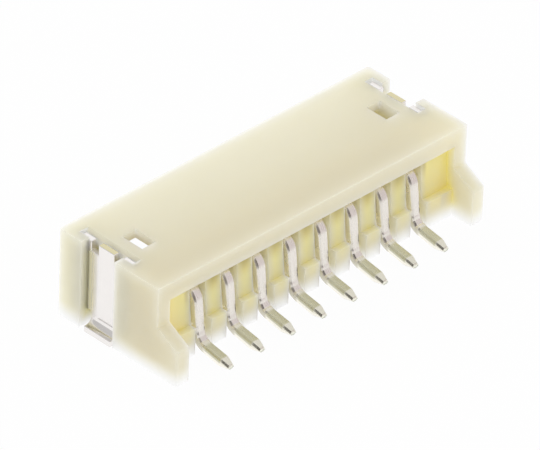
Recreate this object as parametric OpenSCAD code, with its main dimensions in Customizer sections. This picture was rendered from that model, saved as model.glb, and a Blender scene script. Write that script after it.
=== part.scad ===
// Side-entry surface-mount pin header: one moulded housing, a row of bent contacts
// and two stamped solder tabs.
// Millimetres. X runs along the row, the mating mouth faces -Y, the solder feet
// point to +Y, and Z = 0 is the face of the circuit board.

/* [Row] */
// Number of contacts in the row
circuits = 8; // [2:1:12]
// Distance between the axes of neighbouring contacts
pitch = 1.5; // [1.3:0.05:2.5]

/* [Housing] */
// Height of the housing, underside to roof
housing_height = 3.6; // [3.4:0.05:4.5]
// Depth of the housing, mouth to the rear edge of the roof
roof_depth = 4.9; // [4.7:0.05:5.6]
// Gap between the board and the underside of the housing
stand_off = 0.1; // [0.02:0.01:0.2]
// Radius of the outer upright edges
edge_radius = 0.1; // [0.05:0.01:0.2]

/* [Mating cavity] */
// Depth of the cavity behind the mouth
cavity_depth = 3.2; // [3:0.05:3.5]
// Distance from the axis of an outer contact to the end of the cavity
end_margin = 1.0; // [0.8:0.05:1.5]
// Thickness of each end wall
end_wall = 1.25; // [1.1:0.05:1.6]
// Thickness of the roof over the cavity
roof_wall = 0.35; // [0.25:0.05:0.5]
// Thickness of the floor under the cavity
floor_wall = 0.45; // [0.3:0.05:0.7]
// Width of the sloping lead-in round the mouth
lead_in = 0.15; // [0.05:0.01:0.2]

/* [Roof windows] */
// Distance from the mouth to a window
window_setback = 1.8; // [1:0.05:2.1]
// Length of a window, front to rear
window_length = 1.0; // [0.5:0.05:1.1]
// Width of a window, along the row
window_width = 0.65; // [0.3:0.05:1.2]

/* [Rear comb] */
// Depth of the slot round each contact leg, in front of the roof's rear edge
slot_depth = 0.9; // [0.8:0.05:1.1]
// Width of that slot
slot_width = 0.78; // [0.66:0.02:0.95]
// Height of the band below the rear edge of the roof
rear_band = 0.7; // [0.4:0.05:0.8]
// Height of the comb's foot, above the underside
comb_foot = 1.1; // [0.6:0.05:1.4]
// How far the comb lies under the roof edge, just below the band
undercut_top = 0.4; // [0.3:0.02:0.5]
// How far the comb lies under the roof edge, just above its foot
undercut_foot = 0.28; // [0.1:0.02:0.4]

/* [Wings] */
// Thickness of the wing at each end
wing_wall = 0.58; // [0.44:0.02:0.8]
// How far the wings reach behind the roof
wing_length = 1.0; // [0.5:0.05:1.2]
// Height of the wing's rear edge, above the underside
wing_height = 1.45; // [1:0.05:1.6]
// Height where the wing's slope meets the rear of the end wall
wing_shoulder = 2.0; // [1.8:0.05:2.6]
// Radius of the wing's rear corners
wing_radius = 0.1; // [0.05:0.05:0.3]

/* [Contacts] */
// Width of a contact, along the row
pin_width = 0.42; // [0.36:0.02:0.56]
// Thickness of a contact
pin_thickness = 0.35; // [0.25:0.01:0.4]
// Chamfer on the long edges of a contact
pin_chamfer = 0.07; // [0.02:0.01:0.1]
// Height of the straight contact axis above the board
pin_height = 2.38; // [2.2:0.02:2.44]
// Distance from the mouth to the contact tips
pin_setback = 0.8; // [0.4:0.05:1.5]
// How far the foot of the leg lies in front of the roof's rear edge
leg_inset = 0.21; // [0.1:0.01:0.25]
// Backward lean of the leg, in degrees from upright
leg_lean = 7; // [3:1:10]
// Inner radius of the upper bend
upper_bend = 0.33; // [0.1:0.01:0.38]
// Inner radius of the bend above the foot
lower_bend = 0.4; // [0.2:0.02:0.5]
// How much thinner the bent leg is than the straight contact and the foot, each side
bend_relief = 0.01; // [0.005:0.005:0.02]
// Length of the foot, from the foot of the leg to the tip
foot_length = 1.62; // [1.3:0.02:1.9]
// Downward slope of the foot, in degrees
foot_slope = 10; // [0:1:12]
// Length of the tapered tip at each end of a contact
tip_length = 0.38; // [0.2:0.01:0.5]
// Width of the blunt end of each tip
tip_width = 0.26; // [0.15:0.01:0.34]
// Thickness of the blunt end of each tip
tip_thickness = 0.15; // [0.1:0.01:0.2]
// Chamfer on the edges of each tip, at its blunt end
tip_chamfer = 0.06; // [0.02:0.01:0.08]
// Clearance round a contact in the web
pin_fit = 0.01; // [0.005:0.005:0.03]

/* [Solder tabs] */
// Thickness of the tab sheet
tab_sheet = 0.25; // [0.15:0.01:0.35]
// Distance from the end of the housing to the outer face of the tab
tab_inset = 0.41; // [0.38:0.01:0.5]
// Distance from the mouth to the middle of the tab
tab_setback = 1.92; // [1.7:0.02:2.2]
// Width of the tab over its ears
tab_width = 2.58; // [2.2:0.02:2.8]
// Width of the pocket that shows the tab
pocket_width = 1.64; // [1.4:0.02:1.8]
// Width of the tab's foot and of the tongue above it
foot_width = 1.3; // [0.8:0.02:1.36]
// Width of the middle strip at the top of the tab
strip_width = 0.78; // [0.5:0.02:0.84]
// Width of each notch beside the strip
notch_width = 0.34; // [0.1:0.02:0.36]
// Depth of each notch
notch_depth = 0.42; // [0.2:0.02:0.8]
// How far the top of the tab lies below the roof
tab_drop = 0.12; // [0.05:0.01:0.3]
// Height of the ledge that carries the ears, above the underside
tab_seat = 0.6; // [0.5:0.05:1]
// Inner radius of the bend above the tab's foot
tab_bend = 0.3; // [0.1:0.01:0.32]
// Distance from the end of the housing to the toe of the tab
tab_toe = 0.05; // [0:0.01:0.1]
// Clearance round the tab in its pocket
tab_fit = 0.02; // [0.01:0.01:0.05]
// Sloping lead-in at the top of the tab's grooves, along the inner edge
tab_lead = 0.12; // [0.02:0.01:0.15]

/* [Hidden] */
// Pieces in each rounded corner of an outline
corner_steps = 8;
// Pieces in a full turn of a contact's bend
$fn = 48;
// Degrees by which a bend runs on into the straight that it meets
bend_overlap = 5;
// Overshoot of the cuts past the faces that they open
cut = 0.5;

row_half = (circuits - 1) * pitch / 2;
cavity_half = row_half + end_margin;
housing_half = cavity_half + end_wall;

underside = stand_off;
roof_top = stand_off + housing_height;
band_bottom = roof_top - rear_band;
comb_step = underside + comb_foot;
slot_floor = roof_depth - slot_depth;

// Height of the foot's axis under the leg, with the low edge of the tip on the board
foot_rise = max(
    (foot_length - tip_length) * sin(foot_slope) + pin_thickness / 2 * cos(foot_slope),
    foot_length * sin(foot_slope) + tip_thickness / 2 * cos(foot_slope)
);
// Depth where the axes of the leg and the foot cross
leg_reach = roof_depth - leg_inset;
leg_length = (pin_height - foot_rise) / cos(leg_lean);
// Depth where the axes of the straight contact and the leg cross
shoulder_reach = leg_reach - leg_length * sin(leg_lean);

// Turns of the contact's axis, their radii, and how far each takes from its straights
upper_turn = 90 - leg_lean;
lower_turn = upper_turn - foot_slope;
upper_radius = upper_bend + pin_thickness / 2;
lower_radius = lower_bend + pin_thickness / 2;
upper_tangent = upper_radius * tan(upper_turn / 2);
lower_tangent = lower_radius * tan(lower_turn / 2);

wing_reach = roof_depth + wing_length;
tip_reach = leg_reach + foot_length * cos(foot_slope) + tip_thickness / 2 * sin(foot_slope);
// The box of the whole header is centred on Y = 0
mouth_y = -max(tip_reach, wing_reach) / 2;

ivory = [0.92, 0.89, 0.78];
tin = [0.8, 0.79, 0.77];

function pin_x(k) = row_half - (k - 1) * pitch;
function unit(v) = v / norm(v);

// Points of an arc of radius r that rounds the corner b between a and c
function round_corner(a, b, c, r) =
    let (u = unit(a - b), v = unit(c - b))
    let (half = acos(u * v) / 2, centre = b + unit(u + v) * r / sin(half))
    let (first = b + u * r / tan(half) - centre, last = b + v * r / tan(half) - centre)
    let (start = atan2(first.y, first.x), turn = atan2(last.y, last.x) - start)
    let (sweep = turn > 180 ? turn - 360 : turn < -180 ? turn + 360 : turn)
    [for (i = [0:corner_steps])
        let (t = start + sweep * i / corner_steps) centre + r * [cos(t), sin(t)]];

// Outline whose corners are given as [across, up, radius], with 0 for a sharp corner
function rounded_outline(corners) =
    let (n = len(corners), p = [for (c = corners) [c.x, c.y]])
    [for (i = [0:n - 1])
        each corners[i].z > 0
            ? round_corner(p[(i + n - 1) % n], p[i], p[(i + 1) % n], corners[i].z)
            : [p[i]]];

// Box between two corners
module box(low, high) {
    translate(low) cube(high - low);
}

// Rectangle between two corners
module rectangle(low, high) {
    translate(low) square(high - low);
}

// Outline in the Y-Z plane, carried along X between two places
module along_x(from, to) {
    translate([from, 0, 0]) rotate([90, 0, 90]) linear_extrude(to - from) children();
}

// Outline in the X-Z plane, carried along Y between two places
module along_y(from, to) {
    translate([0, to, 0]) rotate([90, 0, 0]) linear_extrude(to - from) children();
}

// Outline in the X-Y plane, carried along Z between two places
module along_z(from, to) {
    translate([0, 0, from]) linear_extrude(to - from) children();
}

// A shape and its mirror image at the other end
module both_ends() {
    children();
    mirror([1, 0, 0]) children();
}

// Side outline of an end wall with its wing; depth is counted from the mouth
module end_outline() {
    polygon(rounded_outline([
        [0, underside, 0],
        [wing_reach, underside, wing_radius],
        [wing_reach, underside + wing_height, wing_radius],
        [roof_depth, underside + wing_shoulder, wing_radius],
        [roof_depth, roof_top, 0],
        [0, roof_top, 0]
    ]));
}

// Plan outline of the housing, with its upright edges rounded
module plan_outline() {
    polygon(rounded_outline([
        [-housing_half, 0, edge_radius],
        [housing_half, 0, edge_radius],
        [housing_half, wing_reach, edge_radius],
        [-housing_half, wing_reach, edge_radius]
    ]));
}

// Block of the housing with the end walls and wings, before it is cored
module housing_block() {
    intersection() {
        union() {
            box([-housing_half, 0, underside], [housing_half, roof_depth, roof_top]);
            both_ends() along_x(housing_half - wing_wall, housing_half) end_outline();
        }
        along_z(underside, roof_top) plan_outline();
    }
}

// Space for the mating plug, with its lead-in at the mouth
module mating_cavity() {
    low = underside + floor_wall;
    high = roof_top - roof_wall;
    intersection() {
        along_x(-housing_half, housing_half) polygon([
            [-cut, low - lead_in - cut], [lead_in, low], [cavity_depth, low],
            [cavity_depth, high], [lead_in, high], [-cut, high + lead_in + cut]
        ]);
        along_z(underside - cut, roof_top + cut) polygon([
            [-cavity_half - lead_in - cut, -cut], [-cavity_half, lead_in],
            [-cavity_half, cavity_depth], [cavity_half, cavity_depth],
            [cavity_half, lead_in], [cavity_half + lead_in + cut, -cut]
        ]);
    }
}

// Window through the roof at the left end of the cavity
module roof_window() {
    box([cavity_half - window_width, window_setback, roof_top - roof_wall - cut],
        [cavity_half, window_setback + window_length, roof_top + cut]);
}

// Undercut of the comb below the rear band of the roof; the comb leans as it rises
module comb_undercut() {
    inner_half = housing_half - wing_wall;
    along_x(-inner_half, inner_half) polygon([
        [roof_depth - undercut_foot, comb_step], [roof_depth + cut, comb_step],
        [roof_depth + cut, band_bottom], [roof_depth - undercut_top, band_bottom]
    ]);
}

// Slot and web hole of one contact
module contact_way(x) {
    box([x - slot_width / 2, slot_floor, underside - cut],
        [x + slot_width / 2, roof_depth + cut, band_bottom]);
    translate([x, 0, pin_height])
        along_y(cavity_depth - cut, slot_floor + cut) contact_section(pin_fit);
}

// Pocket and side grooves of the left solder tab, with a lead-in at the top
module tab_pocket() {
    back = housing_half - tab_inset - tab_sheet - tab_fit;
    front = housing_half - tab_inset + tab_fit;
    reach = tab_width / 2 + tab_fit;
    box([back, tab_setback - pocket_width / 2, underside - cut],
        [housing_half + cut, tab_setback + pocket_width / 2, roof_top + cut]);
    box([back, tab_setback - reach, underside + tab_seat],
        [front, tab_setback + reach, roof_top + cut]);
    along_y(tab_setback - reach, tab_setback + reach) polygon([
        [back - tab_lead - cut, roof_top + cut], [back, roof_top - tab_lead],
        [front, roof_top - tab_lead], [front, roof_top + cut]
    ]);
}

module housing() {
    color(ivory) translate([0, mouth_y, 0]) difference() {
        housing_block();
        mating_cavity();
        both_ends() roof_window();
        comb_undercut();
        for (k = [1:circuits]) contact_way(pin_x(k));
        both_ends() tab_pocket();
    }
}

// Cross-section of a contact, made larger all round by an allowance
module contact_section(allowance) {
    x = pin_width / 2 + allowance;
    z = pin_thickness / 2 + allowance;
    c = pin_chamfer;
    polygon([
        [x, z - c], [x - c, z], [c - x, z], [-x, z - c],
        [-x, c - z], [c - x, -z], [x - c, -z], [x, c - z]
    ]);
}

// Distance between two opposite chamfers of a section
function over_chamfers(width, thickness, chamfer) = (width + thickness - 2 * chamfer) / sqrt(2);

// Points [along, across] round a straight bar whose far end tapers to a blunt tip
function taper(start, length, full, blunt) = [
    [start, -full / 2], [length - tip_length, -full / 2], [length, -blunt / 2],
    [length, blunt / 2], [length - tip_length, full / 2], [start, full / 2]
];

// Bar that runs to +Y and tapers across one direction only, turned about its axis
module tapered_bar(turn, start, length, full, blunt) {
    rotate([0, turn, 0]) along_x(-pin_width, pin_width)
        polygon(taper(start, length, full, blunt));
}

// A straight of the contact that runs to +Y and tapers to its tip: what is left between
// its top and bottom, its two sides and its two pairs of chamfers
module tipped_straight(length) {
    full = over_chamfers(pin_width, pin_thickness, pin_chamfer);
    blunt = over_chamfers(tip_width, tip_thickness, tip_chamfer);
    intersection() {
        tapered_bar(0, 0, length, pin_thickness, tip_thickness);
        tapered_bar(90, -cut, length, pin_width, tip_width);
        tapered_bar(45, -cut, length, full, blunt);
        tapered_bar(-45, -cut, length, full, blunt);
    }
}

// A bend of the contact that starts along +Y and turns to +Z
module bend(radius, turn) {
    translate([0, 0, radius]) rotate([0, 90, 0]) rotate_extrude(angle = turn + bend_overlap)
        translate([radius, 0]) rotate(90) contact_section(-bend_relief);
}

// The leg, which runs to +Y, with the bends at its two ends
module bent_leg() {
    length = leg_length - upper_tangent - lower_tangent;
    along_y(0, length) contact_section(-bend_relief);
    rotate([180, 0, 0]) bend(upper_radius, upper_turn);
    translate([0, length, 0]) bend(lower_radius, lower_turn);
}

// Turns a piece of the contact to its slope and sets it at [depth, height]
module place(at, slope) {
    translate([0, at.x, at.y]) rotate([slope, 0, 0]) children();
}

module contact_pin(k) {
    shoulder = [shoulder_reach, pin_height];
    heel = [leg_reach, foot_rise];
    down = [sin(leg_lean), -cos(leg_lean)];
    back = [cos(foot_slope), -sin(foot_slope)];
    color(tin) translate([pin_x(k), mouth_y, 0]) union() {
        place(shoulder - [upper_tangent, 0], 180)
            tipped_straight(shoulder_reach - upper_tangent - pin_setback);
        place(shoulder + upper_tangent * down, -upper_turn) bent_leg();
        place(heel + lower_tangent * back, -foot_slope)
            tipped_straight(foot_length - lower_tangent);
    }
}

// Bent section of a tab: upright sheet, round bend and foot that points outwards
module tab_section() {
    face = housing_half - tab_inset;
    back = face - tab_sheet;
    top = roof_top - tab_drop;
    toe = housing_half - tab_toe;
    polygon(rounded_outline([
        [back, top, 0],
        [back, 0, tab_bend + tab_sheet],
        [toe, 0, 0],
        [toe, tab_sheet, 0],
        [face, tab_sheet, tab_bend],
        [face, top, 0]
    ]));
}

// Face outline of a tab: ears that hang in the grooves, a notch on each side of
// the middle strip, and the tongue that runs down to the foot
module tab_face() {
    top = roof_top - tab_drop;
    half_strip = strip_width / 2;
    difference() {
        union() {
            rectangle([-tab_width / 2, underside + tab_seat], [tab_width / 2, top]);
            rectangle([-foot_width / 2, -cut], [foot_width / 2, top]);
        }
        for (start = [half_strip, -half_strip - notch_width])
            rectangle([start, top - notch_depth], [start + notch_width, top + cut]);
    }
}

module solder_tab() {
    color(tin) translate([0, mouth_y + tab_setback, 0]) intersection() {
        along_y(-tab_width, tab_width) tab_section();
        along_x(0, housing_half + cut) tab_face();
    }
}

module solder_tab_left() {
    solder_tab();
}

module solder_tab_right() {
    mirror([1, 0, 0]) solder_tab();
}

housing();
for (k = [1:circuits])
    contact_pin(k);
solder_tab_left();
solder_tab_right();
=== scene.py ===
"""Looks of a side-entry surface-mount pin header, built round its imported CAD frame."""

import math

import bmesh
import bpy
import numpy as np
from mathutils import Matrix, Vector


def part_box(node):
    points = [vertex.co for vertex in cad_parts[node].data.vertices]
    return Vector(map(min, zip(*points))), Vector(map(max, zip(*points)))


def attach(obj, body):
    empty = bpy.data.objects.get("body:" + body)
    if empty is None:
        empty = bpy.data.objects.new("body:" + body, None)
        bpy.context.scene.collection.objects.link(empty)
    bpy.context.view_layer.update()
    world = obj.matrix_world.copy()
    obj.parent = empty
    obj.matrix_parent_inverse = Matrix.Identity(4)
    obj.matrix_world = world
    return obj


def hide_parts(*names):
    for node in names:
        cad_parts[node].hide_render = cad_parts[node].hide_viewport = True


bl_info = {
    "name": "Pin Header Looks",
    "version": (1, 0, 0),
    "blender": (4, 5, 0),
    "location": "3D View > Sidebar > Pin Header",
    "description": "Dresses a side-entry pin header: housing, contacts and solder tabs",
    "category": "Object",
}

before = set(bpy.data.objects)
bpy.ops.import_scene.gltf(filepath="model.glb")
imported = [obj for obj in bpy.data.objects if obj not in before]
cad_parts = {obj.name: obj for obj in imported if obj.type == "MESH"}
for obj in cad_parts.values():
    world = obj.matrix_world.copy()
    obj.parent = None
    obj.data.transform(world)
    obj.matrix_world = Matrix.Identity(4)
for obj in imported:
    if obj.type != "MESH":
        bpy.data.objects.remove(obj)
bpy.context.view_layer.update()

MM = 0.001
BODY = "root"
PIN_NODES = sorted(
    (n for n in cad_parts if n.startswith("contact_pin_")),
    key=lambda n: int(n.rsplit("_", 1)[1]),
)
TAB_NODES = ["solder_tab_left", "solder_tab_right"]
HOUSING_LOW, HOUSING_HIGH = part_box("housing")
PIN_MIDDLES = [(low.x + high.x) / 2 for low, high in map(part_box, PIN_NODES)]
FIRST_PIN = PIN_MIDDLES[0]
ROW_END = max(PIN_MIDDLES)
PITCH = abs(PIN_MIDDLES[1] - PIN_MIDDLES[0])
MOUTH = HOUSING_LOW.y


def mm(*lengths):
    """Lengths in millimetres, turned into metres."""
    return tuple(value * MM for value in lengths)


def length(name, description, default):
    """A length property, given in millimetres and kept in metres."""
    return bpy.props.FloatProperty(
        name=name,
        description=description,
        default=default * MM,
        min=0.0,
        precision=6,
        subtype="DISTANCE",
        unit="LENGTH",
    )


def angle(name, description, default):
    """An angle property, given in degrees and kept in radians."""
    return bpy.props.FloatProperty(
        name=name,
        description=description,
        default=math.radians(default),
        subtype="ANGLE",
        unit="ROTATION",
    )


def colour(name, description, default):
    """A linear colour property."""
    return bpy.props.FloatVectorProperty(
        name=name,
        description=description,
        default=default,
        size=3,
        min=0.0,
        max=1.0,
        subtype="COLOR",
    )


def factor(name, description, default):
    """A share from 0 to 1."""
    return bpy.props.FloatProperty(
        name=name, description=description, default=default, min=0.0, max=1.0, subtype="FACTOR"
    )


def power(name, description, default):
    """The power of a lamp in watts."""
    return bpy.props.FloatProperty(
        name=name, description=description, default=default, min=0.0, unit="POWER"
    )


class HousingLooks(bpy.types.PropertyGroup):
    """Edges and colours of the moulded housing."""

    edge: length("Edge rounding", "Rounding of the moulded edges", 0.15)
    ivory: colour("Ivory", "Colour of the open faces", (0.85, 0.785, 0.578))
    # The amber, with the hollow depth and corner reach that place it, is painted glow and shade
    amber: colour("Amber", "Colour of the light that has crossed the nylon", (1.0, 0.85, 0.31))
    # Painted light: the nylon is painted paler near the board, in the slots and in the openings of
    # the roof
    pale_glow: colour("Pale", "Colour of the nylon near the board", (0.975, 0.965, 0.91))
    pale_height: length("Pale height", "Height above the board below which the nylon pales", 0.9)
    roof_depth: length("Roof depth", "Distance from the mouth to the rear edge of the roof", 4.9)
    hollow: length("Hollow depth", "Depth below the outer faces at which the nylon is amber", 0.6)
    corner: length("Corner reach", "Distance over which an inner corner turns amber", 0.8)
    scatter: length("Scatter", "Distance that light travels inside the nylon", 1.7)
    translucency: factor("Translucency", "Share of light that goes through the nylon", 1.0)
    roughness: factor("Roughness", "Roughness of the moulded faces", 0.58)


class ContactSizes(bpy.types.PropertyGroup):
    """Sizes of the bent contacts."""

    width: length("Width", "Width along the row", 0.42)
    thickness: length("Thickness", "Thickness of a contact", 0.35)
    chamfer: length("Chamfer", "Chamfer on the long edges", 0.07)
    edge: length("Edge rounding", "Rounding of the chamfers' edges", 0.025)
    height: length("Height", "Height of the straight axis above the board", 2.38)
    setback: length("Setback", "Distance from the mouth to the tips", 0.8)
    heel: length("Heel", "Distance from the mouth to the foot of the leg", 4.69)
    lean: angle("Lean", "Backward lean of the leg", 7.0)
    upper_bend: length("Upper bend", "Inner radius of the upper bend", 0.33)
    lower_bend: length("Lower bend", "Inner radius of the bend above the foot", 0.4)
    foot: length("Foot", "Length of the foot", 1.62)
    slope: angle("Slope", "Downward slope of the foot", 10.0)
    tip: length("Tip", "Length of the tapered tips", 0.38)
    tip_width: length("Tip width", "Width of the blunt end", 0.26)
    tip_thickness: length("Tip thickness", "Thickness of the blunt end", 0.15)
    tip_chamfer: length("Tip chamfer", "Chamfer on the edges of the blunt end", 0.07)
    knee_flats: bpy.props.IntProperty(
        name="Knee flats",
        description="Flats that the bending tool leaves on the knee",
        default=3,
        min=1,
        max=8,
    )
    nick_height: length("Nick height", "Height of the tool's nicks above the knee", 0.28)
    nick_length: length("Nick length", "Length of the tool's nicks", 0.2)
    nick_depth: length("Nick depth", "Depth of the tool's nicks", 0.02)
    tin: colour("Tin", "Colour of the tin plate", (0.87, 0.83, 0.77))
    # Painted light: the contacts' sides are painted lighter than the tin
    bright: colour("Bright", "Colour of the polished sides", (1.0, 0.97, 0.88))
    # Painted dark reflection on the knee's sides
    knee_shade: colour("Rubbed", "Colour of the knee's sides, dulled by the tool", (0.7, 0.67, 0.57))
    # Painted reflection of the housing's yellow on the top of the foot
    straw_reflection: colour("Straw", "Colour of the dulled top of the foot", (0.6, 0.585, 0.44))
    # Dark patches along the leg's edge towards -X
    dark_patch: colour("Scuff", "Colour of the scuffs along the leg", (0.16, 0.14, 0.14))
    brass: colour("Brass", "Colour of the bare cut end", (0.93, 0.93, 0.8))
    roughness: factor("Roughness", "Roughness of the tin plate", 0.26)


class TabLooks(bpy.types.PropertyGroup):
    """Edges and colour of the solder tabs."""

    edge: length("Edge rounding", "Rounding of the stamped edges", 0.03)
    tin: colour("Tin", "Colour of the tin plate", (0.95, 0.92, 0.9))
    brass: colour("Brass", "Colour of the bare cut edge", (0.72, 0.66, 0.42))
    # Painted reflection of the nylon on the part of the tab that the housing holds
    straw_reflection: colour("Straw", "Colour of the dulled part in the housing", (0.82, 0.8, 0.64))
    roughness: factor("Roughness", "Roughness of the tin plate", 0.12)


class StageLooks(bpy.types.PropertyGroup):
    """Floor and lights."""

    sky: bpy.props.FloatProperty(
        name="Sky",
        description="Strength of the even light from all round",
        default=0.7,
        min=0.0,
    )
    key: power("Key lamp", "Power of the lamp in front of the header and above it", 0.45)
    fill: power("Fill lamp", "Power of the lamp behind the header", 0.26)
    table: factor("Light table", "Share of the floor's light that comes through it", 1.0)
    floor: colour("Floor", "Colour of the floor", (0.9, 0.9, 0.9))


ARC_POINTS = 4
UPPER_BEND_STATIONS = 17
NICK_STATIONS = 9
# Angle between a corner of the knee and the stations on both sides of it
KNEE_EDGE = math.radians(2.0)
# Blend to the blunt tip's section that sinks a corner of the knee
GROOVE = 0.05
# Stations of a tip: distance from its end in tip lengths, and blend to the blunt section
TAPER = np.array(
    [[0.0, 1.0], [0.25, 0.75], [0.5, 0.5], [0.75, 0.25], [0.93, 0.075], [1.08, 0.0]]
)


def rounded_loop(corners, radius, steps):
    """Closed outline with each corner rounded.

    At each corner the arc's centre lies on the bisector, radius / sin(half angle) from
    the corner, and the arc runs between the two points where it touches the sides.
    """
    before, after = np.roll(corners, 1, 0), np.roll(corners, -1, 0)
    u = (before - corners) / np.linalg.norm(before - corners, axis=1)[:, None]
    v = (after - corners) / np.linalg.norm(after - corners, axis=1)[:, None]
    half = np.arccos(np.clip((u * v).sum(1), -1, 1)) / 2
    bisector = (u + v) / np.linalg.norm(u + v, axis=1)[:, None]
    centre = corners + bisector * (radius / np.sin(half))[:, None]
    first = corners + u * (radius / np.tan(half))[:, None] - centre
    last = corners + v * (radius / np.tan(half))[:, None] - centre
    start = np.arctan2(first[:, 1], first[:, 0])
    turn = np.arctan2(last[:, 1], last[:, 0]) - start
    turn = (turn + math.pi) % (2 * math.pi) - math.pi
    t = start[:, None] + turn[:, None] * np.linspace(0, 1, steps)
    arc = centre[:, None] + radius * np.stack([np.cos(t), np.sin(t)], -1)
    return arc.reshape(-1, 2)


def chamfered_section(width, thickness, chamfer, edge):
    """Section [across, up] of a contact: a rectangle with four chamfers, their edges rounded."""
    x, z, c = width / 2, thickness / 2, chamfer
    corners = np.array(
        [
            [x, c - z],
            [x, z - c],
            [x - c, z],
            [c - x, z],
            [-x, z - c],
            [-x, c - z],
            [c - x, -z],
            [x - c, -z],
        ]
    )
    return rounded_loop(corners, edge, ARC_POINTS)


def heel_height(s):
    """Height of the point where the axes of leg and foot meet.

    The foot slopes down from there until its underside, at the start of the tip or at its
    end, stands on the board.
    """
    return max(
        (s.foot - s.tip) * math.sin(s.slope) + s.thickness / 2 * math.cos(s.slope),
        s.foot * math.sin(s.slope) + s.tip_thickness / 2 * math.cos(s.slope),
    )


def stations(depth, height, slope, blunt=0.0, nick=0.0):
    """Rows [depth, height, slope, blend to the blunt tip, nick], single values repeated."""
    return np.stack(np.broadcast_arrays(depth, height, slope, blunt, nick), 1)


def contact_path(s):
    """Stations of a contact's axis.

    The axis runs straight back at one height, turns down round the upper bend into the
    leaning leg, turns back round the lower bend and runs down the sloping foot. Each bend
    is an arc that is tangent to both straights; on the lower one the stations gather at
    the corners of equal chords, which leaves flats with a shallow groove between them. The
    blend grows from 0 to 1 along each tip. The nick is the share by which the bending tool
    has pinched the width, a smooth hump on the leg just above the lower bend.
    """
    upper_turn = math.pi / 2 - s.lean
    lower_turn = upper_turn - s.slope
    upper = s.upper_bend + s.thickness / 2
    lower = s.lower_bend + s.thickness / 2
    upper_tangent = upper * math.tan(upper_turn / 2)
    lower_tangent = lower * math.tan(lower_turn / 2)
    heel = np.array([s.heel, heel_height(s)])
    shoulder = s.heel - (s.height - heel[1]) * math.tan(s.lean)
    tip = stations(s.setback + s.tip * TAPER[:, 0], s.height, 0.0, TAPER[:, 1])

    a = upper_turn * np.linspace(0, 1, UPPER_BEND_STATIONS)
    upper_arc = stations(
        shoulder - upper_tangent + upper * np.sin(a), s.height - upper + upper * np.cos(a), -a
    )

    corners = upper_turn - lower_turn / s.knee_flats * np.arange(s.knee_flats + 1)
    a = (corners[:, None] + KNEE_EDGE * np.array([1, 0, -1])).ravel()[1:-1]
    groove = np.tile([0.0, GROOVE, 0.0], len(corners))[1:-1]
    back = np.array([math.cos(s.slope), -math.sin(s.slope)])
    end = heel + lower_tangent * back
    lower_arc = stations(
        end[0] + lower * (math.sin(s.slope) - np.sin(a)),
        end[1] + lower * (math.cos(s.slope) - np.cos(a)),
        -a,
        groove,
    )

    down = np.array([math.sin(s.lean), -math.cos(s.lean)])
    middle = lower_arc[0, :2] - s.nick_height * down
    t = np.linspace(-1, 1, NICK_STATIONS)
    nick = stations(
        middle[0] + t * s.nick_length / 2 * down[0],
        middle[1] + t * s.nick_length / 2 * down[1],
        -upper_turn,
        nick=s.nick_depth / s.width * (1 + np.cos(math.pi * t)),
    )

    along = s.foot - s.tip * TAPER[::-1, 0]
    foot = stations(
        heel[0] + along * back[0], heel[1] + along * back[1], -s.slope, TAPER[::-1, 1]
    )
    return np.concatenate([tip, upper_arc, nick, lower_arc, foot])


def swept_surface(path, full, blunt, across):
    """Grid of points: the section set square to the axis at every station.

    A point (x, z) of the section lands at (x, depth - z sin(slope), height + z cos(slope)),
    where the section is the full one blended towards the blunt one and pinched by the nick.
    """
    share = path[:, 3][:, None, None]
    section = full[None] * (1 - share) + blunt[None] * share
    slope = path[:, 2][:, None]
    x = across + section[..., 0] * (1 - path[:, 4][:, None])
    y = MOUTH + path[:, 0][:, None] - section[..., 1] * np.sin(slope)
    z = path[:, 1][:, None] + section[..., 1] * np.cos(slope)
    return np.stack([x, y, z], -1)


def tube_faces(rows, columns):
    """Quads of a tube of rows rings with columns points each, and one face on each end."""
    i, j = np.meshgrid(np.arange(rows - 1), np.arange(columns), indexing="ij")
    k = (j + 1) % columns
    quads = np.stack(
        [i * columns + j, (i + 1) * columns + j, (i + 1) * columns + k, i * columns + k], -1
    )
    ends = [list(range(columns)), list(range(rows * columns - 1, (rows - 1) * columns - 1, -1))]
    return quads.reshape(-1, 4).tolist() + ends


def new_piece(name, points, faces, material):
    """A smooth-shaded mesh object at the origin with one material."""
    mesh = bpy.data.meshes.new(name)
    mesh.from_pydata(points.reshape(-1, 3), [], faces)
    mesh.shade_smooth()
    mesh.materials.append(material)
    piece = bpy.data.objects.new(name, mesh)
    bpy.context.scene.collection.objects.link(piece)
    return piece


def keep_flats(piece):
    """Flat faces keep their own normal and the narrow faces at their edges take the turn."""
    normals = piece.modifiers.new("flat faces", "WEIGHTED_NORMAL")
    normals.keep_sharp = True


# Decimals of a millimetre to which corners are merged
MERGE_DECIMALS = 4
# Neighbours that turn by less are one flat face, and edges that turn by more are rounded
FLAT_ANGLE = math.radians(0.5)
SHARP_ANGLE = math.radians(30)
ROUNDING_STEPS = 3


def merged_points(node):
    """Corners of a CAD node with doubles merged, in millimetres, and its triangles."""
    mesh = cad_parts[node].data
    points = np.zeros(len(mesh.vertices) * 3, np.float32)
    mesh.vertices.foreach_get("co", points)
    corners = np.zeros(len(mesh.loops), np.int32)
    mesh.loops.foreach_get("vertex_index", corners)
    grid = np.round(points.reshape(-1, 3).astype(float) / MM, MERGE_DECIMALS)
    places, index = np.unique(grid, axis=0, return_inverse=True)
    triangles = index.reshape(-1)[corners].reshape(-1, 3)
    first, second, third = (places[triangles[:, k]] for k in range(3))
    area = np.linalg.norm(np.cross(second - first, third - first), axis=1)
    return places, triangles[area > 0]


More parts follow.
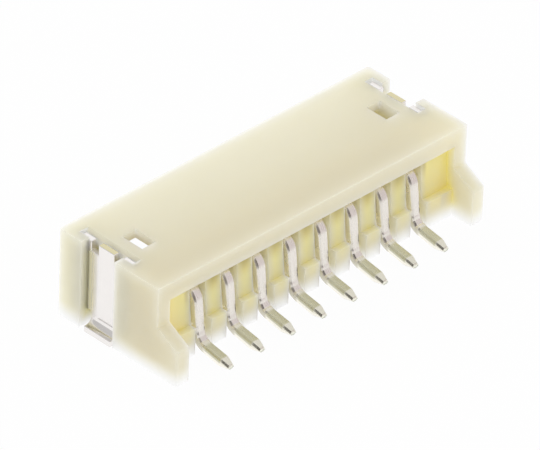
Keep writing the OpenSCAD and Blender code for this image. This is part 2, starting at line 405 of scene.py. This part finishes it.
def rounded_copy(node, name, edge, material):
    """Copy of a CAD node whose sharp edges are rounded.

    The copy is merged, flat neighbours are joined into convex faces, and the edges are
    rounded while it is still in millimetres; the result is then scaled to metres.
    """
    places, triangles = merged_points(node)
    piece = new_piece(name, places, triangles.tolist(), material)
    shape = bmesh.new()
    shape.from_mesh(piece.data)
    bmesh.ops.dissolve_limit(shape, angle_limit=FLAT_ANGLE, verts=shape.verts, edges=shape.edges)
    bmesh.ops.connect_verts_concave(shape, faces=shape.faces)
    shape.to_mesh(piece.data)
    shape.free()
    piece.data.shade_smooth()
    bevel = piece.modifiers.new("rounded edges", "BEVEL")
    bevel.width = edge / MM
    bevel.segments = ROUNDING_STEPS
    bevel.limit_method = "ANGLE"
    bevel.angle_limit = SHARP_ANGLE
    bevel.miter_outer = "MITER_ARC"
    keep_flats(piece)
    seen = piece.evaluated_get(bpy.context.evaluated_depsgraph_get())
    finished = bpy.data.meshes.new_from_object(seen)
    finished.transform(Matrix.Scale(MM, 4))
    finished.name = name
    rough = piece.data
    piece.modifiers.clear()
    piece.data = finished
    bpy.data.meshes.remove(rough)
    return piece


def stand_for(piece, node):
    """The piece rides on the body and stands for its CAD node, which is hidden."""
    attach(piece, BODY)
    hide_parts(node)


# Sockets of a colour mix
MIX_COLOURS = (6, 7)
MIX_RESULT = 2


def new_material(name):
    """An empty node material."""
    material = bpy.data.materials.new(name)
    material.use_nodes = True
    return material


def tinted(shade, tint):
    """A colour multiplied by a tint."""
    return tuple(c * k for c, k in zip(shade, tint))


class Nodes:
    """Short hand for building a node tree. A value is a plain one or a socket."""

    def __init__(self, tree):
        self.tree = tree

    def add(self, kind, **values):
        """A new node with some of its settings."""
        node = self.tree.nodes.new(kind)
        for key, value in values.items():
            setattr(node, key, value)
        return node

    def link(self, source, target):
        """A link between two sockets."""
        self.tree.links.new(source, target)

    def feed(self, target, value):
        """Give an input its value."""
        if isinstance(value, bpy.types.NodeSocket):
            self.link(value, target)
        else:
            target.default_value = value

    def dress(self, values):
        """Give inputs of the material's shader their values."""
        for name, value in values.items():
            self.feed(self.tree.nodes["Principled BSDF"].inputs[name], value)

    def place(self):
        """Object coordinates of the point."""
        return self.add("ShaderNodeTexCoord").outputs["Object"]

    def facing(self):
        """Normal of the point."""
        return self.add("ShaderNodeNewGeometry").outputs["Normal"]

    def axes(self, vector):
        """X, Y and Z of a vector."""
        node = self.add("ShaderNodeSeparateXYZ")
        self.feed(node.inputs[0], vector)
        return tuple(node.outputs)

    def noise(self, scale, detail, stretch=(1.0, 1.0, 1.0)):
        """Noise on Object coordinates; scale counts cells per millimetre."""
        mapping = self.add("ShaderNodeMapping")
        self.feed(mapping.inputs["Vector"], self.place())
        self.feed(mapping.inputs["Scale"], stretch)
        noise = self.add("ShaderNodeTexNoise")
        self.feed(noise.inputs["Vector"], mapping.outputs["Vector"])
        self.feed(noise.inputs["Scale"], scale / MM)
        self.feed(noise.inputs["Detail"], detail)
        return noise.outputs["Fac"]

    def span(self, value, low, high):
        """Value from 0 to 1 turned into low to high."""
        node = self.add("ShaderNodeMapRange")
        self.feed(node.inputs["Value"], value)
        self.feed(node.inputs["To Min"], low)
        self.feed(node.inputs["To Max"], high)
        return node.outputs["Result"]

    def ramp(self, value, first, last):
        """Smooth share that grows from 0 where the value is first to 1 where it is last."""
        node = self.add("ShaderNodeMapRange", interpolation_type="SMOOTHSTEP")
        self.feed(node.inputs["Value"], value)
        self.feed(node.inputs["From Min"], first)
        self.feed(node.inputs["From Max"], last)
        return node.outputs["Result"]

    def hump(self, value, rise, fall):
        """Smooth share that grows to 1 between one pair of values and shrinks between another."""
        return self.product(self.ramp(value, *rise), self.ramp(value, *fall))

    def math(self, operation, first, second=0.0):
        """Result of a sum on two values."""
        node = self.add("ShaderNodeMath", operation=operation)
        self.feed(node.inputs[0], first)
        self.feed(node.inputs[1], second)
        return node.outputs[0]

    def product(self, first, *others):
        """All the values multiplied."""
        for other in others:
            first = self.math("MULTIPLY", first, other)
        return first

    def largest(self, first, *others):
        """The largest of the values."""
        for other in others:
            first = self.math("MAXIMUM", first, other)
        return first

    def vector(self, operation, first, second=(0.0, 0.0, 0.0)):
        """Result of a sum on two vectors."""
        node = self.add("ShaderNodeVectorMath", operation=operation)
        self.feed(node.inputs[0], first)
        self.feed(node.inputs[1], second)
        return node.outputs[0]

    def steps(self, x):
        """Place along the row in pitches: 0 on a contact, rising to 1 on the next towards +X."""
        return self.math("FRACT", self.math("DIVIDE", self.math("SUBTRACT", x, FIRST_PIN), PITCH))

    def stops(self, value, pairs):
        """Share read off a line through [value, share] pairs."""
        node = self.add("ShaderNodeValToRGB")
        points = node.color_ramp.elements
        while len(points) < len(pairs):
            points.new(1.0)
        for point, (position, level) in zip(points, pairs):
            point.position = position
            point.color = (level, level, level, 1.0)
        self.feed(node.inputs["Fac"], value)
        return node.outputs["Color"]

    def mix(self, share, first, second):
        """Colour between two colours."""
        node = self.add("ShaderNodeMix", data_type="RGBA")
        self.feed(node.inputs["Factor"], share)
        for socket, value in zip(MIX_COLOURS, (first, second)):
            if not isinstance(value, bpy.types.NodeSocket):
                value = (*value, 1.0)
            self.feed(node.inputs[socket], value)
        return node.outputs[MIX_RESULT]

    def bump(self, value, depth):
        """Normal bumped by a height value; depth in metres."""
        node = self.add("ShaderNodeBump")
        self.feed(node.inputs["Strength"], 1.0)
        self.feed(node.inputs["Distance"], depth)
        self.feed(node.inputs["Height"], value)
        return node.outputs["Normal"]


# Where the nylon's painted glow, light and shade set in: each pair is where one starts and where
# it is complete
AMBER_UNDER_ROOF = mm(0.25, 0.7)
CORNER_ABOVE_BOARD = mm(0.3, 1.0)
COMB_BEFORE_REAR = mm(1.3, 0.9)
BLOCK_PAST_ROW = mm(1.2, 1.0)
TEETH_PAST_ROW = mm(0.7, 0.5)
ENDS_PAST_ROW = mm(0.5, 1.0)
BLOCK_RISE, BLOCK_FALL = mm(0.4, 1.25), mm(1.5, 1.3)
EAVES_UNDER_ROOF = mm(1.8, 1.0)
REAR_BEHIND_MOUTH = mm(1.8, 5.0)
FAR_END = mm(-4.0, -7.0)
BORE_ACROSS = mm(6.9, 6.6)
BORE_BEHIND_MOUTH = mm(3.6, 3.3)
BORE_UNDER_ROOF = mm(0.7, 1.2)
CORNER_OPENNESS = (0.85, 0.3)
DEEP_OPENNESS = (0.5, 0.2)
# Shares of the amber, which is painted glow and shade: the most of it, and what is left of it in
# some places
MOST_AMBER = 0.8
CORNER_AMBER = 0.8
BLOCK_AMBER = 0.45
DEEP_LEFT = 0.6
BORE_LEFT = 0.5
ENDS_LEFT = 0.85
FAR_END_LEFT = 0.5
# Paleness between the contacts, which is painted light and shade: place in pitches, and the share
# that it takes off the amber
ROW_LIGHT_AND_SHADE = (
    (0.0, 0.8),
    (0.262, 0.6),
    (0.28, 0.0),
    (0.52, 0.0),
    (0.74, 0.5),
    (0.76, 0.8),
    (1.0, 0.9),
)
# Weights of the depth below the end walls, below the mouth and rear, and below the roof
DEPTH_WEIGHTS = (1.0, 1.2, 0.6)
CLOUD_TINT = (0.97, 0.965, 0.93)
# Painted shade towards the rear
REAR_SHADE_TINT = (0.81, 0.81, 0.83)
# Painted shadow at the top of the teeth, under the roof's rear band
EAVES_SHADOW_TINT = (0.38, 0.38, 0.46)
CLOUD_SCALE, CLOUD_DETAIL = 0.25, 2.0
GRAIN_SCALE, GRAIN_DETAIL = 14.0, 2.0
GRAIN_DEPTH = 0.0015 * MM
GRAIN_ROUGHNESS = 0.06
SHADE_SAMPLES = 16
NYLON_IOR = 1.53
NYLON_SPECULAR = 0.15


class HousingSpot:
    """Where a point of the housing lies, as distances that the nylon's painted light and shade
    follow.
    """

    def __init__(self, m, roof_rear):
        self.x, y, self.z = m.axes(m.place())
        self.across = m.math("ABSOLUTE", self.x)
        self.past_row = m.math("SUBTRACT", self.across, ROW_END)
        self.behind_mouth = m.math("SUBTRACT", y, MOUTH)
        self.before_rear = m.math("SUBTRACT", roof_rear, y)
        self.under_roof = m.math("SUBTRACT", HOUSING_HIGH.z, self.z)


def depth_below_faces(m, low, high):
    """Depth of a point below the faces of a box.

    On each axis it is half the box's size less the distance from its middle, times the
    axis's weight; the least of the three counts.
    """
    offset = m.vector("SUBTRACT", m.place(), (low + high) / 2)
    inside = m.vector("SUBTRACT", (high - low) / 2, m.vector("ABSOLUTE", offset))
    x, y, z = m.axes(m.vector("MULTIPLY", inside, DEPTH_WEIGHTS))
    return m.math("MINIMUM", m.math("MINIMUM", x, y), z)


def nylon(looks):
    """Ivory nylon, painted amber in its hollows, with faint flow clouds and a fine mould texture.

    The amber is painted glow and shade: it stands for light that has crossed the nylon and for
    shade in the hollows. It is the larger of the depth below the faces of the box round the
    roof and the end walls and the ambient-occlusion shade of an inner corner; the wings behind
    that box stay ivory. It fades out towards the roof. At the comb it is also in the block
    below the teeth, less in the slots and along the sides of the teeth, and a painted shadow
    makes it dark at the top of the teeth. It is less in the deepest shade, in the mating
    cavity and past the ends of the row. Painted light makes the nylon paler near the board, in
    the slots and in the openings of the roof, and painted shade makes it a little darker
    towards the rear, least so at the far end, towards -X.
    """
    material = new_material("ivory_nylon")
    m = Nodes(material.node_tree)
    roof_rear = MOUTH + looks.roof_depth
    at = HousingSpot(m, roof_rear)
    shade = m.add("ShaderNodeAmbientOcclusion", samples=SHADE_SAMPLES)
    m.feed(shade.inputs["Distance"], looks.corner)
    openness = shade.outputs["AO"]

    top = Vector((HOUSING_HIGH.x, roof_rear, HOUSING_HIGH.z))
    # Painted amber glow and shade: deep below the box's faces and in inner corners
    hollow = m.ramp(depth_below_faces(m, HOUSING_LOW, top), 0.0, looks.hollow)
    corner = m.product(
        m.ramp(openness, *CORNER_OPENNESS), m.ramp(at.z, *CORNER_ABOVE_BOARD), CORNER_AMBER
    )
    below = m.ramp(at.under_roof, *AMBER_UNDER_ROOF)
    comb = m.ramp(at.before_rear, *COMB_BEFORE_REAR)
    teeth = m.product(comb, m.ramp(at.past_row, *TEETH_PAST_ROW))
    # Painted amber glow in the block below the teeth
    block = m.product(
        comb,
        m.ramp(at.past_row, *BLOCK_PAST_ROW),
        m.hump(at.z, BLOCK_RISE, BLOCK_FALL),
        BLOCK_AMBER,
    )
    amber = m.largest(m.product(m.largest(hollow, corner), below), block)
    # Painted light and shade along the row: paler in the slots and on the +X part of each tooth,
    # amber shade on its -X part
    slot = m.product(amber, teeth, m.stops(m.steps(at.x), ROW_LIGHT_AND_SHADE))
    bore = m.product(
        m.ramp(at.across, *BORE_ACROSS),
        m.ramp(at.behind_mouth, *BORE_BEHIND_MOUTH),
        m.ramp(at.under_roof, *BORE_UNDER_ROOF),
    )
    amber = m.product(
        m.math("MINIMUM", m.math("SUBTRACT", amber, slot), MOST_AMBER),
        m.span(m.ramp(openness, *DEEP_OPENNESS), 1.0, DEEP_LEFT),
        m.span(bore, 1.0, BORE_LEFT),
        m.span(m.ramp(at.past_row, *ENDS_PAST_ROW), 1.0, ENDS_LEFT),
    )
    # Painted shadow at the top of the teeth, under the roof's rear band
    eaves_shadow = m.product(m.ramp(at.under_roof, *EAVES_UNDER_ROOF), teeth, amber)

    # Painted shade: a little darker towards the rear, least so at the far end
    rear = m.product(
        m.ramp(at.behind_mouth, *REAR_BEHIND_MOUTH),
        m.span(m.ramp(at.x, *FAR_END), 1.0, FAR_END_LEFT),
    )
    # Painted light: paler near the board, in the slots and in the openings of the roof
    leak = m.product(m.math("SUBTRACT", 1.0, below), corner)
    paler = m.largest(leak, slot, m.ramp(at.z, looks.pale_height, 0.0))
    clouds = m.noise(CLOUD_SCALE, CLOUD_DETAIL)
    face = m.mix(clouds, looks.ivory, tinted(looks.ivory, CLOUD_TINT))
    face = m.mix(rear, face, tinted(looks.ivory, REAR_SHADE_TINT))
    face = m.mix(paler, face, looks.pale_glow)
    face = m.mix(amber, face, looks.amber)
    face = m.mix(eaves_shadow, face, tinted(looks.amber, EAVES_SHADOW_TINT))

    grain = m.noise(GRAIN_SCALE, GRAIN_DETAIL)
    least, most = looks.roughness - GRAIN_ROUGHNESS, looks.roughness + GRAIN_ROUGHNESS
    m.dress(
        {
            "Base Color": face,
            "Roughness": m.span(grain, least, most),
            "Normal": m.bump(grain, GRAIN_DEPTH),
            "Subsurface Weight": looks.translucency,
            "Subsurface Radius": (1.0, 1.0, 1.0),
            "Subsurface Scale": looks.scatter,
            "IOR": NYLON_IOR,
            "Specular IOR Level": NYLON_SPECULAR,
        }
    )
    return material


LINE_SCALE, LINE_DETAIL = 9.0, 2.0
LINE_DEPTH = 0.0004 * MM
MOTTLE_SCALE, MOTTLE_DETAIL = 1.1, 3.0
MOTTLE_TINT = (0.9, 0.9, 0.9)
# Least and most roughness of the plate, in shares of the one set
ROUGH_SPAN = (0.7, 1.4)


class TinPlate(Nodes):
    """Bright tin plate: faint drawn lines along the metal and a soft mottle."""

    def __init__(self, name, looks, stretch):
        self.material = new_material(name)
        super().__init__(self.material.node_tree)
        mottle = self.noise(MOTTLE_SCALE, MOTTLE_DETAIL)
        self.colour = self.mix(mottle, looks.tin, tinted(looks.tin, MOTTLE_TINT))
        lines = self.noise(LINE_SCALE, LINE_DETAIL, stretch)
        self.rough = self.span(lines, *(looks.roughness * share for share in ROUGH_SPAN))
        self.dress({"Normal": self.bump(lines, LINE_DEPTH)})


CONTACT_STRETCH = (1.0, 0.12, 0.12)
CONTACT_METALLIC = 0.9
# Where the painted light, reflections and marks on a contact set in: each pair is where one starts
# and where it is complete
SIDE_FACING = (0.75, 0.95)
TOP_FACING = (0.35, 0.6)
KNEE_HEIGHT = mm(1.0, 0.85)
KNEE_BEHIND_HEEL = mm(0.5, 0.35)
STRAW_BEHIND_HEEL = mm(0.3, 0.55)
STRAW_ABOVE_AXIS = mm(-0.02, 0.05)
DARK_PATCH_RISE, DARK_PATCH_FALL = mm(0.8, 0.95), mm(1.4, 1.2)
DARK_PATCH_BEHIND_HEEL = mm(-0.7, -0.6)
CUT_BEFORE_END = mm(0.04, 0.025)
# The same across the flat of the leg, in shares of its half width
DARK_PATCH_INNER, DARK_PATCH_OUTER = (0.72, 0.82), (1.3, 1.2)
DARK_PATCH_LEVELS = (0.36, 0.5)
DARK_PATCH_SCALE, DARK_PATCH_DETAIL = 5.0, 1.0
DARK_PATCH_STRETCH = (1.0, 1.0, 0.6)
# The painted reflection on the foot fades on the tip: share of the tip's length by which it has,
# and what is left of it
TIP_FADE = 0.9
TIP_LEFT = 0.45


def contact_tin(s):
    """Tin plate of a contact.

    Its sides are painted lighter than the tin, which is painted light, but for the knee's sides,
    which carry a painted dark reflection. The foot carries a painted reflection of the housing's
    yellow on top and on its sides down to its axis, and less so on the tip. Dark patches lie
    along the leg's edge towards -X, and the cut end of the foot is brass.
    """
    m = TinPlate("contact_tin", s, CONTACT_STRETCH)
    x, y, z = m.axes(m.place())
    across, _, up = m.axes(m.facing())
    behind_heel = m.math("SUBTRACT", y, MOUTH + s.heel)
    before_end = m.math("SUBTRACT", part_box(PIN_NODES[0])[1].y, y)

    # Painted light on the sides, lighter than the tin, and a painted dark reflection on the knee's
    # sides
    side = m.ramp(m.math("ABSOLUTE", across), *SIDE_FACING)
    knee = m.product(m.ramp(z, *KNEE_HEIGHT), m.ramp(behind_heel, *KNEE_BEHIND_HEEL))
    face = m.mix(side, m.colour, m.mix(knee, s.bright, s.knee_shade))

    axis = m.math("SUBTRACT", heel_height(s), m.product(behind_heel, math.tan(s.slope)))
    above_axis = m.math("SUBTRACT", z, axis)
    # Painted reflection of the housing's yellow on the foot's top and its sides down to its axis
    straw_reflection = m.product(
        m.largest(m.ramp(up, *TOP_FACING), m.ramp(above_axis, *STRAW_ABOVE_AXIS)),
        m.ramp(behind_heel, *STRAW_BEHIND_HEEL),
        m.span(m.ramp(before_end, s.tip, s.tip * TIP_FADE), 1.0, TIP_LEFT),
    )
    face = m.mix(straw_reflection, face, s.straw_reflection)

    # Dark patches along the leg's edge towards -X
    aside = m.math("SUBTRACT", 0.5, m.steps(m.math("SUBTRACT", x, PITCH / 2)))
    half = (s.width / 2 - s.chamfer) / PITCH
    inner, outer = ([half * share for share in pair] for pair in (DARK_PATCH_INNER, DARK_PATCH_OUTER))
    patches = m.noise(DARK_PATCH_SCALE, DARK_PATCH_DETAIL, DARK_PATCH_STRETCH)
    dark_patch = m.product(
        m.hump(aside, inner, outer),
        m.hump(z, DARK_PATCH_RISE, DARK_PATCH_FALL),
        m.ramp(behind_heel, *DARK_PATCH_BEHIND_HEEL),
        m.ramp(patches, *DARK_PATCH_LEVELS),
    )
    face = m.mix(dark_patch, face, s.dark_patch)
    face = m.mix(m.ramp(before_end, *CUT_BEFORE_END), face, s.brass)
    m.dress({"Base Color": face, "Roughness": m.rough, "Metallic": CONTACT_METALLIC})
    return m.material


TAB_STRETCH = (0.3, 1.0, 0.12)
TAB_METALLIC = 0.85
# Where the painted reflection and the marks on a tab set in: each pair is where one starts and
# where it is complete
CUT_UNDER_ROOF = mm(0.3, 0.2)
CUT_FACING = (0.8, 0.98)
CUT_ASIDE = mm(0.6, 0.5)
HELD_ASIDE = mm(0.6, 0.75)
HELD_ABOVE_BOARD = mm(0.4, 0.6)
HELD_UNDER_ROOF = mm(0.4, 0.7)
HELD_ROUGHNESS = 0.45
HELD_METALLIC = 0.2


def tab_tin(looks):
    """Tin plate of a tab, duller where the housing holds it and painted there with a reflection of
    the nylon, brass on its strip's cut end.
    """
    m = TinPlate("tab_tin", looks, TAB_STRETCH)
    _, y, z = m.axes(m.place())
    _, _, up = m.axes(m.facing())
    low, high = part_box(TAB_NODES[0])
    aside = m.math("ABSOLUTE", m.math("SUBTRACT", y, (low.y + high.y) / 2))
    under_roof = m.math("SUBTRACT", HOUSING_HIGH.z, z)
    # Painted reflection of the nylon, on duller metal, where the housing holds the tab
    held = m.product(
        m.ramp(aside, *HELD_ASIDE),
        m.ramp(z, *HELD_ABOVE_BOARD),
        m.ramp(under_roof, *HELD_UNDER_ROOF),
    )
    cut = m.product(
        m.ramp(under_roof, *CUT_UNDER_ROOF),
        m.ramp(up, *CUT_FACING),
        m.ramp(aside, *CUT_ASIDE),
    )
    m.dress(
        {
            "Base Color": m.mix(cut, m.mix(held, m.colour, looks.straw_reflection), looks.brass),
            "Roughness": m.largest(m.rough, m.product(held, HELD_ROUGHNESS)),
            "Metallic": m.span(held, TAB_METALLIC, HELD_METALLIC),
        }
    )
    return m.material


class HEADER_OT_housing(bpy.types.Operator):
    """Make the moulded housing"""

    bl_idname = "header.housing"
    bl_label = "Housing"

    def execute(self, context):
        looks = context.scene.header_housing
        piece = rounded_copy("housing", "moulded_housing", looks.edge, nylon(looks))
        stand_for(piece, "housing")
        return {"FINISHED"}


class HEADER_OT_contacts(bpy.types.Operator):
    """Make the row of bent contacts"""

    bl_idname = "header.contacts"
    bl_label = "Contacts"

    def execute(self, context):
        s = context.scene.header_contacts
        material = contact_tin(s)
        path = contact_path(s)
        full = chamfered_section(s.width, s.thickness, s.chamfer, s.edge)
        blunt = chamfered_section(s.tip_width, s.tip_thickness, s.tip_chamfer, s.edge / 2)
        faces = tube_faces(len(path), len(full))
        for node in PIN_NODES:
            low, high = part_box(node)
            points = swept_surface(path, full, blunt, (low.x + high.x) / 2)
            piece = new_piece(node.replace("contact_pin", "bent_contact"), points, faces, material)
            keep_flats(piece)
            stand_for(piece, node)
        return {"FINISHED"}


class HEADER_OT_tabs(bpy.types.Operator):
    """Make the two stamped solder tabs"""

    bl_idname = "header.tabs"
    bl_label = "Solder tabs"

    def execute(self, context):
        looks = context.scene.header_tabs
        material = tab_tin(looks)
        for node in TAB_NODES:
            piece = rounded_copy(node, node.replace("solder", "stamped"), looks.edge, material)
            stand_for(piece, node)
        return {"FINISHED"}


CAMERA_AZIMUTH = math.radians(134.10)
CAMERA_ELEVATION = math.radians(34.78)
CAMERA_ROLL = math.radians(2.34)
CAMERA_PLACE = Vector((0.16954, 0.167061 + MOUTH, 0.165642 + HOUSING_LOW.z))
CAMERA_LENS = 552.3
CAMERA_SENSOR = 36.0
CAMERA_CLIP = (0.001, 10.0)
# Lamps: place, and side of the square, in metres
KEY_PLACE, KEY_SIZE = (0.09, -0.26, 0.3), 0.25
FILL_PLACE, FILL_SIZE = (-0.2, 0.28, 0.14), 0.3
FLOOR_HALF = 2.0
FLOOR_ROUGHNESS = 0.9
# Share of white in the floor that the camera sees; the rest keeps the shadow
FLOOR_WHITE = 0.965
# Cards: name, colour, first and last turn from +X, lowest and highest angle, in degrees
CARDS = (
    ("dark_card", (0.09, 0.07, 0.07), (32, 66), (-8, 27)),
    ("high_dark_card", (0.05, 0.05, 0.05), (8, 70), (27, 52)),
    ("dim_card", (0.4, 0.36, 0.34), (12, 32), (-8, 27)),
    ("grey_card", (0.74, 0.68, 0.7), (95, 165), (-6, 45)),
    ("side_card", (0.55, 0.55, 0.55), (-85, -8), (2, 60)),
)
CARD_DISTANCE = 0.15
CARD_POINTS = 25
EYE_HEIGHT = 0.002
# Share of the way down to the floor at which a card stops
FLOOR_STOP = 0.97
# Keeps the distance to the floor finite for directions that rise
LEAST_SINE = 1e-6


def add_lamp(name, place, size, energy):
    """Square area lamp that faces the origin and isn't seen in reflections."""
    data = bpy.data.lights.new(name, "AREA")
    data.energy = energy
    data.size = size
    lamp = bpy.data.objects.new(name, data)
    lamp.location = place
    lamp.rotation_euler = (-Vector(place)).to_track_quat("-Z", "Y").to_euler()
    lamp.visible_glossy = False
    bpy.context.scene.collection.objects.link(lamp)


def glowing(m, shade):
    """Output of an emission of strength 1."""
    glow = m.add("ShaderNodeEmission")
    m.feed(glow.inputs["Color"], (*shade, 1.0))
    m.feed(glow.inputs["Strength"], 1.0)
    return glow.outputs["Emission"]


def add_card(name, shade, turns, heights):
    """Card that only reflections see: it stands round the object and curves down onto the floor.

    A point at turn a and height e of the card lies in the direction (cos e cos a, cos e sin a,
    sin e) from a point EYE_HEIGHT above the origin, CARD_DISTANCE away or just before that
    direction meets the floor, whichever is nearer.
    """
    a, e = np.meshgrid(
        np.linspace(*np.radians(turns), CARD_POINTS),
        np.linspace(*np.radians(heights), CARD_POINTS),
        indexing="ij",
    )
    to_floor = FLOOR_STOP * EYE_HEIGHT / np.maximum(np.sin(-e), LEAST_SINE)
    away = np.minimum(CARD_DISTANCE, to_floor)
    points = np.stack([np.cos(e) * np.cos(a), np.cos(e) * np.sin(a), np.sin(e)], -1)
    points *= away[..., None]
    points[..., 2] += EYE_HEIGHT
    i, j = np.meshgrid(np.arange(CARD_POINTS - 1), np.arange(CARD_POINTS - 1), indexing="ij")
    corner = i * CARD_POINTS + j
    across = corner + CARD_POINTS
    faces = np.stack([corner, corner + 1, across + 1, across], -1).reshape(-1, 4)
    cloth = new_material(name)
    m = Nodes(cloth.node_tree)
    m.link(glowing(m, shade), m.tree.nodes["Material Output"].inputs["Surface"])
    card = new_piece(name, points, faces.tolist(), cloth)
    card.visible_camera = False
    card.visible_diffuse = False
    card.visible_transmission = False
    card.visible_volume_scatter = False
    card.visible_shadow = False


def white_to_see(m, light, seen):
    """One level as light, and another where the camera, a reflection or a clear view looks."""
    path = m.add("ShaderNodeLightPath").outputs
    looked_at = m.largest(
        path["Is Camera Ray"], path["Is Glossy Ray"], path["Is Transmission Ray"]
    )
    return m.span(looked_at, light, seen)


def make_sky(scene, strength):
    """World that is white to see and a plain level as light."""
    world = bpy.data.worlds.new("studio")
    world.use_nodes = True
    scene.world = world
    m = Nodes(world.node_tree)
    sky = m.tree.nodes["Background"]
    m.feed(sky.inputs["Color"], (1.0, 1.0, 1.0, 1.0))
    m.feed(sky.inputs["Strength"], white_to_see(m, strength, 1.0))


def make_floor(looks):
    """Paper on a light table: nearly white to see, with the object's shadow left on it."""
    paper = new_material("white_paper")
    m = Nodes(paper.node_tree)
    m.dress(
        {
            "Base Color": (*looks.floor, 1.0),
            "Roughness": FLOOR_ROUGHNESS,
            "Specular IOR Level": 0.0,
        }
    )
    mix = m.add("ShaderNodeMixShader")
    m.feed(mix.inputs["Fac"], white_to_see(m, looks.table, FLOOR_WHITE))
    m.link(m.tree.nodes["Principled BSDF"].outputs["BSDF"], mix.inputs[1])
    m.link(glowing(m, (1.0, 1.0, 1.0)), mix.inputs[2])
    m.link(mix.outputs["Shader"], m.tree.nodes["Material Output"].inputs["Surface"])
    corners = FLOOR_HALF * np.array([[-1, -1, 0], [1, -1, 0], [1, 1, 0], [-1, 1, 0]])
    floor = new_piece("floor", corners, [[0, 1, 2, 3]], paper)


def make_camera(scene):
    """Camera behind the object, to its left and above, tilted a little about its own axis."""
    back = Vector(
        (
            math.sin(CAMERA_AZIMUTH) * math.cos(CAMERA_ELEVATION),
            -math.cos(CAMERA_AZIMUTH) * math.cos(CAMERA_ELEVATION),
            math.sin(CAMERA_ELEVATION),
        )
    )
    right = (-back).cross(Vector((0, 0, 1))).normalized()
    up = right.cross(-back)
    tilted_right = right * math.cos(CAMERA_ROLL) + up * math.sin(CAMERA_ROLL)
    tilted_up = up * math.cos(CAMERA_ROLL) - right * math.sin(CAMERA_ROLL)
    data = bpy.data.cameras.new("camera")
    data.lens = CAMERA_LENS
    data.sensor_width = CAMERA_SENSOR
    data.sensor_fit = "HORIZONTAL"
    data.clip_start, data.clip_end = CAMERA_CLIP
    camera = bpy.data.objects.new("camera", data)
    turn = Matrix((tilted_right, tilted_up, back)).transposed().to_4x4()
    camera.matrix_world = Matrix.Translation(CAMERA_PLACE) @ turn
    scene.collection.objects.link(camera)
    scene.camera = camera


class HEADER_OT_stage(bpy.types.Operator):
    """Make the floor, the lights and the camera"""

    bl_idname = "header.stage"
    bl_label = "Stage"

    def execute(self, context):
        scene = context.scene
        looks = scene.header_stage
        scene.view_settings.view_transform = "Standard"
        make_sky(scene, looks.sky)
        make_floor(looks)
        add_lamp("key_lamp", KEY_PLACE, KEY_SIZE, looks.key)
        add_lamp("fill_lamp", FILL_PLACE, FILL_SIZE, looks.fill)
        for card in CARDS:
            add_card(*card)
        make_camera(scene)
        return {"FINISHED"}


class HEADER_PT_panel(bpy.types.Panel):
    """Makers of the pin header's pieces"""

    bl_idname = "HEADER_PT_panel"
    bl_label = "Pin Header"
    bl_space_type = "VIEW_3D"
    bl_region_type = "UI"
    bl_category = "Pin Header"

    def draw(self, context):
        for operator, group in (
            (HEADER_OT_housing, "header_housing"),
            (HEADER_OT_contacts, "header_contacts"),
            (HEADER_OT_tabs, "header_tabs"),
            (HEADER_OT_stage, "header_stage"),
        ):
            box = self.layout.box()
            box.operator(operator.bl_idname)
            settings = getattr(context.scene, group)
            for name in settings.bl_rna.properties.keys():
                if name not in ("rna_type", "name"):
                    box.prop(settings, name)


GROUPS = {
    "header_housing": HousingLooks,
    "header_contacts": ContactSizes,
    "header_tabs": TabLooks,
    "header_stage": StageLooks,
}
CLASSES = (
    *GROUPS.values(),
    HEADER_OT_housing,
    HEADER_OT_contacts,
    HEADER_OT_tabs,
    HEADER_OT_stage,
    HEADER_PT_panel,
)


def register():
    """Register the classes and give the scene its settings."""
    for cls in CLASSES:
        bpy.utils.register_class(cls)
    for name, group in GROUPS.items():
        setattr(bpy.types.Scene, name, bpy.props.PointerProperty(type=group))


def unregister():
    """Take the settings off the scene and the classes out again."""
    for name in GROUPS:
        delattr(bpy.types.Scene, name)
    for cls in reversed(CLASSES):
        bpy.utils.unregister_class(cls)


def main():
    """Make every piece and the stage."""
    register()
    bpy.ops.header.housing()
    bpy.ops.header.contacts()
    bpy.ops.header.tabs()
    bpy.ops.header.stage()


if __name__ == "__main__":
    main()
